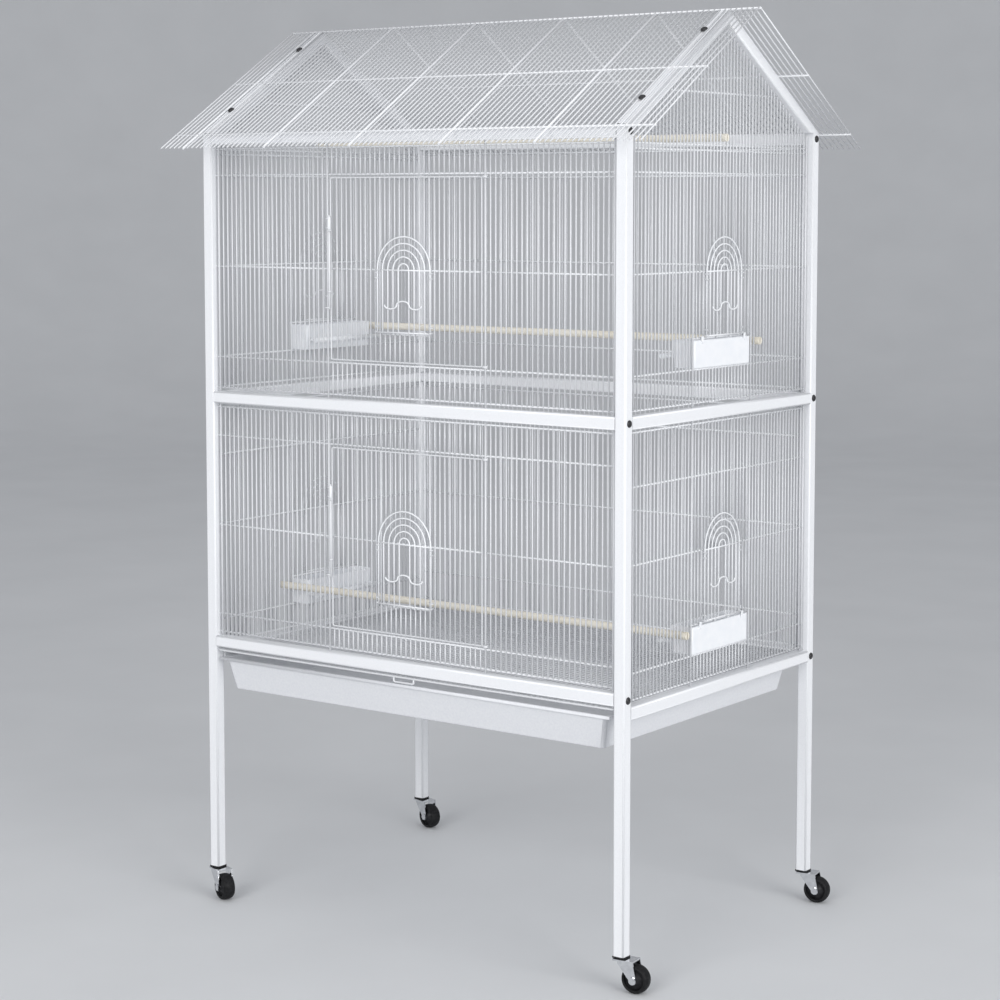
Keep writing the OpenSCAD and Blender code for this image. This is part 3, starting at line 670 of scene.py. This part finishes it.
def slide_door(node, sill, base, turn):
    """Nested arches on two cross wires, with a wavy handle."""
    foot = sill + CROSS + SEAT_GAP
    shape = Shape()
    for k in range(1, ARCHES + 1):
        r = k * ARCH_STEP
        path = [(r, foot)] + arc((0, base), r, 0, 180, 2 * ARC_STEPS) + [(-r, foot)]
        shape.wire(lift(path, SLIDE_W), WIRE)
    for v in (foot + WIRE, base):
        across(shape, ARCH_X + WIRE, v, WIRE, SLIDE_W, slot=0)
    wave = []
    for k, (start, end) in enumerate(CURL_TURNS):
        wave += arc(((k - 1) * 2 * CURL_R, 0), CURL_R, start, end)[k > 0:]
    handle = [(u, base - HANDLE_DROP + CURL_FLAT * v) for u, v in wave]
    shape.wire(lift(handle, SLIDE_W + HANDLE_OUT), WIRE)
    shape.build(node + "_wires", node, [POWDER], on_wall(turn))


# Cups, tray and grate
def cup(node, ledge, turn):
    """Moulded trough with two hooked tabs and a feeding bar inside the cage."""
    low = ledge + CROSS + SEAT_GAP
    top = low + CUP_H
    face = WIRE
    half = SIDE_JAMB * PITCH - HEAVY - SLIDE_GAP

    def level(height, inset):
        back = face - CUP_W + CUP_DRAW * (1 - (height - low) / CUP_H)
        loop = rounded(-half + inset, half - inset, back + inset, face - inset, CUP_CORNER - inset)
        return [(u, height, w) for u, w in loop]

    shape = Shape()
    shape.loft([
        level(low, CUP_SOFT), level(low + CUP_SOFT_STEP, CUP_SOFT_STEP), level(low + CUP_SOFT, 0),
        level(top - CUP_LIP, 0), level(top, CUP_LIP),
        level(top, CUP_WALL - CUP_LIP), level(top - CUP_LIP, CUP_WALL),
        level(low + CUP_WALL + CUP_SOFT, CUP_WALL), level(low + CUP_WALL, CUP_WALL + CUP_SOFT),
    ])
    out = face + SLIDE_GAP + CUP_WALL / 2
    hook = [(top - 2 * CUP_WALL, face - CUP_WALL / 2), (top - 2 * CUP_WALL, out),
            (side_sill(ledge) + 2 * CROSS, out)]
    for side in (-1, 1):
        strip(shape, hook, side * (ARCHES + TAB_PITCHES) * PITCH, TAB_W, TAB_T)
    bar, bar_v = face - CUP_W - FEED_REACH, low + FEED_H
    shape.wire([(-half, bar_v, bar), (half, bar_v, bar)], FEED_R, sides=FEED_SIDES)
    arm = [(bar_v, bar), (bar_v, face - CUP_W + (CUP_DRAW + CUP_WALL) / 2)]
    for side in (-1, 1):
        strip(shape, arm, side * (half - CUP_CORNER), FEED_ARM, FEED_R)
    shape.build(node + "_trough", node, [PLASTIC], on_wall(turn))


def litter_tray():
    """Drawn sheet tray with a flange at its sides and a thick lip in front."""
    node = "litter_tray"
    lo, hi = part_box(node)
    body_x = hi.x - TRAY_FLANGE
    rim = hi.z
    wall = lo.y + LIP_T

    def level(height, inset, flange=0.0, draw=0.0):
        loop = rounded(-body_x + inset - flange + draw * TRAY_DRAW,
                       body_x - inset + flange - draw * TRAY_DRAW,
                       wall + inset + draw * FRONT_DRAW,
                       hi.y - inset - draw * FRONT_DRAW, TRAY_CORNER)
        return lift(loop, height)

    shape = Shape()
    shape.loft([
        level(lo.z, TRAY_SOFT, draw=1), level(lo.z + TRAY_SOFT, 0, draw=TRAY_SOFT_DRAW),
        level(rim - SHEET, 0), level(rim - SHEET, 0, TRAY_FLANGE),
        level(rim, 0, TRAY_FLANGE), level(rim, SHEET),
        level(lo.z + TRAY_SOFT + SHEET, SHEET, draw=TRAY_SOFT_DRAW),
        level(lo.z + SHEET, SHEET + TRAY_SOFT, draw=1),
    ])
    section = rounded(lo.y, wall + SHEET, rim - LIP_H, rim, LIP_ROUND, BEND_STEPS)
    shape.loft([[(x, y, v) for y, v in section] for x in (lo.x, hi.x)])
    # The pan takes the darkened enamel, painted shade on a white tray
    shape.build("litter_tray_pan", node, [TRAY_PAINTED_SHADE])


def floor_grate():
    """Wire floor in a bent wire frame, with a pull loop in front."""
    node = "floor_grate"
    lo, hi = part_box(node)
    half = hi.x - HEAVY
    front, back = lo.y + HEAVY, hi.y - HEAVY
    z = lo.z + PULL_H + HEAVY
    above, below = z + HEAVY - WIRE, z - HEAVY + WIRE
    n = math.floor((hi.x - 2 * HEAVY) / PITCH)
    shape = Shape()
    shape.wire(lift(hoop(half, front, back), z), HEAVY, closed=True)
    for i in range(-n, n + 1):
        shape.wire([(i * PITCH, front, above), (i * PITCH, back, above)], WIRE)
    for k in range(1, GRATE_ROWS):
        y = front + (back - front) * k / GRATE_ROWS
        shape.wire([(-half, y, below), (half, y, below)], WIRE)
    reach = LOOP_HALF - HEAVY
    loop = [(-reach, z), (-reach, lo.z + HEAVY), (reach, lo.z + HEAVY), (reach, z)]
    shape.wire([(x, front, v) for x, v in fillet(loop, 2 * HEAVY)], HEAVY)
    # The grate wires carry the darkened wire coat, painted shade on white wire
    shape.build("floor_grate_wires", node, [WIRE_COAT_PAINTED_SHADE])


# Frame tubes, roof and bolts
def tube_section(half):
    """Section of the square tube with its rounded corners."""
    return rounded(-half, half, -half, half, TUBE_ROUND, BEND_STEPS)


def straight_tube(node, axis, blind=False):
    """Square tube along an axis, open at both ends or closed at its far one."""
    lo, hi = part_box(node)
    centre = (lo + hi) / 2
    near, far = lo[axis], hi[axis]
    a, b = [k for k in range(3) if k != axis]

    def place(p, end):
        point = centre.copy()
        point[axis] = end
        point[a] += p[0]
        point[b] += p[1]
        return point

    outer, inner = tube_section(TUBE / 2), tube_section(TUBE / 2 - TUBE_WALL)
    if blind:
        rings = ((inner, far - TUBE_WALL), (inner, near), (outer, near), (outer, far))
    else:
        rings = ((outer, near), (outer, far), (inner, far), (inner, near))
    shape = Shape()
    shape.loft([[place(p, end) for p in loop] for loop, end in rings], closed=not blind)
    shape.build(node + "_tube", node, [POWDER])


def roof_point(x, s, t, side):
    """Point x along the ridge, s down the slope and t below the roof's top, in front (-1) or behind (1)."""
    c, d = math.cos(ROOF_ANGLE), math.sin(ROOF_ANGLE)
    return Vector((x, side * (s * c - t * d), RIDGE_Z - s * d - t * c))


def rafter_ends(x, p, side):
    """Where the line through a rafter's section point p meets the ridge cut and the foot."""
    at = roof_point(x + p[0], 0, 2 * WIRE + TUBE / 2 + p[1], 1)
    top = (SEAT_GAP / 2 - at.y) / SLOPE.y
    foot = min((POST_TOP - at.z) / SLOPE.z, (CAGE_D / 2 - at.y) / SLOPE.y)
    ends = (at + SLOPE * top, at + SLOPE * foot)
    return [Vector((point.x, side * point.y, point.z)) for point in ends]


def rafters(node, x):
    """Two gable rafters that meet under the ridge."""
    section = tube_section(TUBE / 2)
    shape = Shape()
    for side in (-1, 1):
        shape.loft(list(zip(*(rafter_ends(x, p, side) for p in section))))
    shape.build(node + "_tubes", node, [POWDER])


def roof_grille(node, side):
    """One slope of the roof: thin wires, thick ribs and three cross wires."""
    n = math.floor((ROOF_X - WIRE) / PITCH)
    ribs = range(RIB_LAST, -n - 1, -RIB_STEP)
    shape = Shape()
    for j in range(-n, n + 1):
        radius, slot = (RIB, CROSS_SLOT) if j in ribs else (WIRE, 0)
        ends = [roof_point(j * PITCH, s, radius, side) for s in (RIDGE_TRIM, ROOF_L)]
        shape.wire(ends, radius, slot=slot)
    for s in ROOF_ROWS:
        ends = [roof_point(x, s, ROW_SINK, side) for x in (-ROOF_X, ROOF_X)]
        shape.wire(ends, CROSS, slot=CROSS_SLOT)
    shape.build(node + "_wires", node, GRILLE)


def bolt_places():
    """Where the bolt heads sit: on the posts' sides and on the roof above the rafters."""
    places = []
    for side_x in (-1, 1):
        for side_y, end in ((-1, "front"), (1, "back")):
            for level in RAIL_LEVELS:
                lo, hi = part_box(f"{end}_{level}_rail")
                at = (side_x * (WALL_X + TUBE / 2), side_y * WALL_Y, (lo.z + hi.z) / 2)
                places.append(Matrix.Translation(at) @ Matrix.Rotation(side_x * math.pi / 2, 4, "Y"))
            x = side_x * (math.floor(WALL_X / PITCH) + 0.5) * PITCH
            for share in ROOF_BOLTS:
                at = roof_point(x, share * CAGE_D / 2 / math.cos(ROOF_ANGLE), 0, side_y)
                places.append(Matrix.Translation(at) @ Matrix.Rotation(-side_y * ROOF_ANGLE, 4, "X"))
    return places


def frame_bolts():
    """Domed bolt heads with a socket."""
    dome = [(HEAD_R, 0.0), (HEAD_R, HEAD_EDGE * HEAD_H)]
    dome += [(HEAD_R * math.cos(a), HEAD_H * (HEAD_EDGE + (1 - HEAD_EDGE) * math.sin(a)))
             for a in map(math.radians, HEAD_ARC)]
    dome += [(r * HEAD_R, h * HEAD_H) for r, h in SOCKET]
    shape = Shape()
    for place in bolt_places():
        shape.turned(dome, place)
    shape.build("frame_bolt_heads", "frame_bolts", [BOLT])


# Casters
def wheel(corner, side, depth, turn):
    """Crowned tyre on a stepped hub, at its place under a post."""
    node = corner + "_wheel"
    place = (Matrix.Translation((side * WALL_X, depth * WALL_Y, 0))
             @ Matrix.Rotation(math.radians(turn), 4, "Z")
             @ Matrix.Translation((TRAIL, 0, WHEEL_R)) @ Matrix.Rotation(math.radians(90), 4, "X"))
    half = WHEEL_W / 2
    rim = WHEEL_R - TYRE_T
    crown = [(WHEEL_R - TYRE_CROWN * (1 - math.cos(a)), half * math.sin(a))
             for a in map(math.radians, CROWN_ARC)]
    tyre = [(rim + RIM_LIP, -half), *crown, (rim + RIM_LIP, half),
            (rim, RIM_SHARE * half), (rim, -RIM_SHARE * half)]
    near = [(r * rim, w * half) for r, w in HUB_STEPS]
    far = [(r, -w) for r, w in near]
    bore = AXLE_R + BORE_GAP
    hub = [far[0], *near, (bore, near[-1][1]), (bore, far[-1][1]), *reversed(far[1:])]
    shape = Shape()
    shape.turned(tyre, place, WHEEL_SIDES, closed=True)
    shape.turned(hub, place, WHEEL_SIDES, closed=True, slot=HUB_SLOT)
    shape.build(node + "_tyre", node, [RUBBER, HUB])


def keep(nodes, material, edge=0.0):
    """CAD nodes that stay in view, with their finish and a softened edge."""
    for name in nodes:
        node = frame["nodes"][name]
        if not node.material_slots:
            node.data.materials.append(material)
        for slot in node.material_slots:
            slot.material = material
        if edge:
            bevel = node.modifiers.new("edge", "BEVEL")
            bevel.width = edge
            bevel.segments = BEVEL_STEPS
            bevel.limit_method = "ANGLE"
            bevel.angle_limit = BEVEL_ANGLE


# Assembly
top_rail_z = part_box("front_top_rail")[0].z
upper_side_rows = [UPPER_MID + ROW] + [top_rail_z + rise for rise in GABLE_ROWS]
lower_side_rows = [LOWER_MID + SIDE_ROW_RISE]
bays = (
    ("upper", UPPER_MID, UPPER_MID - ROW, upper_side_rows, True),
    ("lower", LOWER_MID, LOWER_MID - LOW_CUP_DROP, lower_side_rows, False),
)

for corner in CORNERS:
    straight_tube(corner + "_post", Z_AXIS, blind=True)
for level in RAIL_LEVELS:
    for end in ("front", "back"):
        straight_tube(f"{end}_{level}_rail", X_AXIS)
for level in RAIL_LEVELS[1:]:
    for end in ("left", "right"):
        straight_tube(f"{end}_{level}_rail", Y_AXIS)
rafters("left_rafters", -WALL_X)
rafters("right_rafters", WALL_X)
roof_grille("front_roof_grille", -1)
roof_grille("back_roof_grille", 1)
frame_bolts()

for bay, mid, ledge, high_rows, gable in bays:
    front_grille(bay + "_front_grille", mid)
    back_grille(bay + "_back_grille", mid)
    large_door(bay + "_door", mid)
    latch(bay + "_latch", mid)
    slide_door(bay + "_front_slide_door", door_sill(mid), mid, 0)
    for end, turn in (("left", 270), ("right", 90)):
        side_grille(f"{bay}_{end}_grille", mid, ledge, high_rows, turn, gable)
        slide_door(f"{bay}_{end}_slide_door", side_sill(ledge), mid, turn)
        cup(f"{bay}_{end}_cup", ledge, turn)

litter_tray()
floor_grate()
for caster in CASTERS:
    wheel(*caster)
keep(("lower_perch", "upper_perch", "top_perch"), WOOD, PERCH_EDGE)
keep(("runners",), POWDER)
keep(("caster_sockets",), BLACK, CASTER_EDGE)
keep([corner + "_fork" for corner in CORNERS], CHROME, CASTER_EDGE)
keep([corner + "_axle" for corner in CORNERS], CHROME, AXLE_EDGE)


# Studio
def studio_floor():
    """Round pale floor that rises smoothly far behind the object."""
    floor_z = cad_box[0].z
    profile = [(r, 0.0) for r in FLOOR_RINGS]
    profile += [(FLOOR_RINGS[-1] + FLOOR_RISE * math.sin(a), FLOOR_RISE * (1 - math.cos(a)))
                for a in map(math.radians, FLOOR_ARC)]
    verts = [(r * math.cos(t), r * math.sin(t), z + floor_z)
             for r, z in profile for t in full_turn(FLOOR_SIDES)]
    faces = []
    for k in range(len(profile) - 1):
        a, b = k * FLOOR_SIDES, (k + 1) * FLOOR_SIDES
        for i in range(FLOOR_SIDES):
            j = (i + 1) % FLOOR_SIDES
            faces.append((a + i, a + j, b + j, b + i))
    faces.append(tuple(range(FLOOR_SIDES - 1, -1, -1)))
    mesh = bpy.data.meshes.new("studio_floor")
    mesh.from_pydata(verts, [], faces)
    mesh.polygons.foreach_set("use_smooth", [True] * len(mesh.polygons))
    mesh.materials.append(finish("pale_floor", ((0.69, 0.70, 0.71), (0.72, 0.73, 0.74)), 3, (0.7, 0.8)))
    floor = bpy.data.objects.new("studio_floor", mesh)
    bpy.context.scene.collection.objects.link(floor)


def softbox(name, place, size, power):
    """Square area light that looks at the object."""
    light = bpy.data.lights.new(name, "AREA")
    light.shape = "RECTANGLE"
    light.size = size
    light.size_y = size
    light.energy = power
    lamp = bpy.data.objects.new(name, light)
    lamp.location = place
    lamp.rotation_euler = (Vector(LIGHT_AIM) - Vector(place)).to_track_quat("-Z", "Y").to_euler()
    bpy.context.scene.collection.objects.link(lamp)


studio_floor()
for light_row in LIGHTS:
    softbox(*light_row)

world = bpy.data.worlds.new("studio")
world.use_nodes = True
background = world.node_tree.nodes["Background"]
background.inputs["Color"].default_value = WORLD_COLOUR
background.inputs["Strength"].default_value = WORLD_STRENGTH
bpy.context.scene.world = world
bpy.context.scene.view_settings.view_transform = "Standard"

camera = bpy.data.cameras.new("camera")
camera.lens = LENS
camera.sensor_width = SENSOR
camera.shift_y = SHIFT_Y
viewer = bpy.data.objects.new("camera", camera)
viewer.location = CAMERA_AT
viewer.rotation_euler = (math.pi / 2 - CAMERA_PITCH, 0, CAMERA_AZIMUTH)
bpy.context.scene.collection.objects.link(viewer)
bpy.context.scene.camera = viewer
